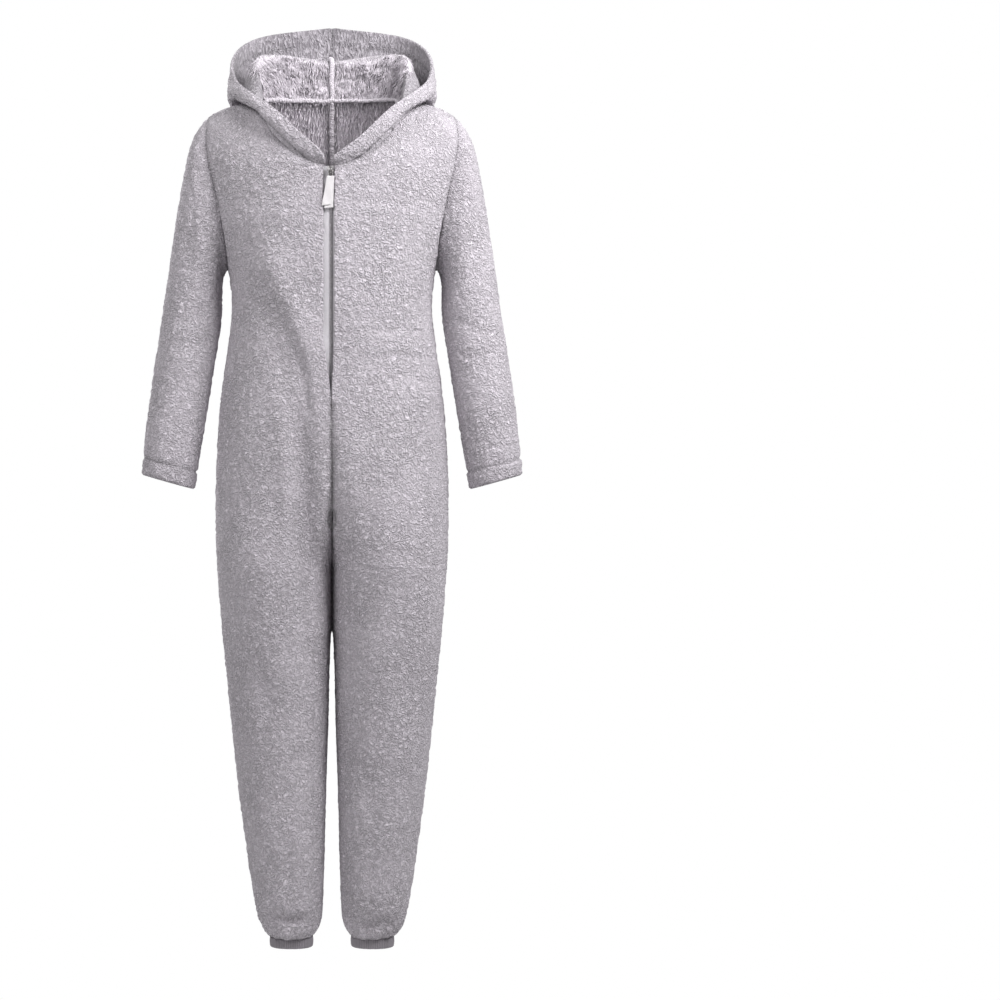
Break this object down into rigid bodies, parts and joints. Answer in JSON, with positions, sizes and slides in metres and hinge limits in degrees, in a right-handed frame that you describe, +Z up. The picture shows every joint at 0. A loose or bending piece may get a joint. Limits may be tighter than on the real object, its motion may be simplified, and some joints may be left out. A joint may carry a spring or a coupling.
{
  "type": "hooded onesie pajama",
  "caption": "Hooded one-piece pajama of thick curly fleece with animal ears on the hood, long sleeves, banded ankles and a front zip, filled out and hollow as if worn.",
  "frame": {"origin": "midway between the shoulders, where the wearer's shoulders hold the garment up", "axes": "+Z up along the body, -Y is the front, +X is the wearer's left"},
  "size_m": [0.6562, 0.3206, 1.6091],
  "materials": {
    "fleece": "curly pile on both faces",
    "rib_knit": "ribbed knit",
    "woven_tape": "woven tape",
    "zip_coil": "moulded coil",
    "dark_metal": "dark plated metal",
    "pale_strap": "soft moulded strap"
  },
  "bodies": {
    "garment": {"front_right": "fleece", "front_left": "fleece", "front_hip_right": "fleece", "front_hip_left": "fleece", "front_leg_right": "fleece", "front_leg_left": "fleece", "back_right": "fleece", "back_left": "fleece", "back_hip_right": "fleece", "back_hip_left": "fleece", "back_leg_right": "fleece", "back_leg_left": "fleece", "sleeve_right": "fleece", "sleeve_left": "fleece", "hood_right": "fleece", "hood_left": "fleece", "ear_right": "fleece", "ear_left": "fleece", "ankle_band_right": "rib_knit", "ankle_band_left": "rib_knit", "zip_tape_right": "woven_tape", "zip_tape_left": "woven_tape", "zip_chain": "zip_coil", "zip_slider": "dark_metal"},
    "pull": {"pull_link": "dark_metal", "pull_tab": "pale_strap"}
  },
  "joints": [
    {"name": "pull_swing", "type": "hinge", "parent": "garment", "child": "pull", "pos_m": [-0.0024, -0.12816, -0.1317], "axis": [-1, 0, 0], "range_deg": [0, 150]}
  ]
}
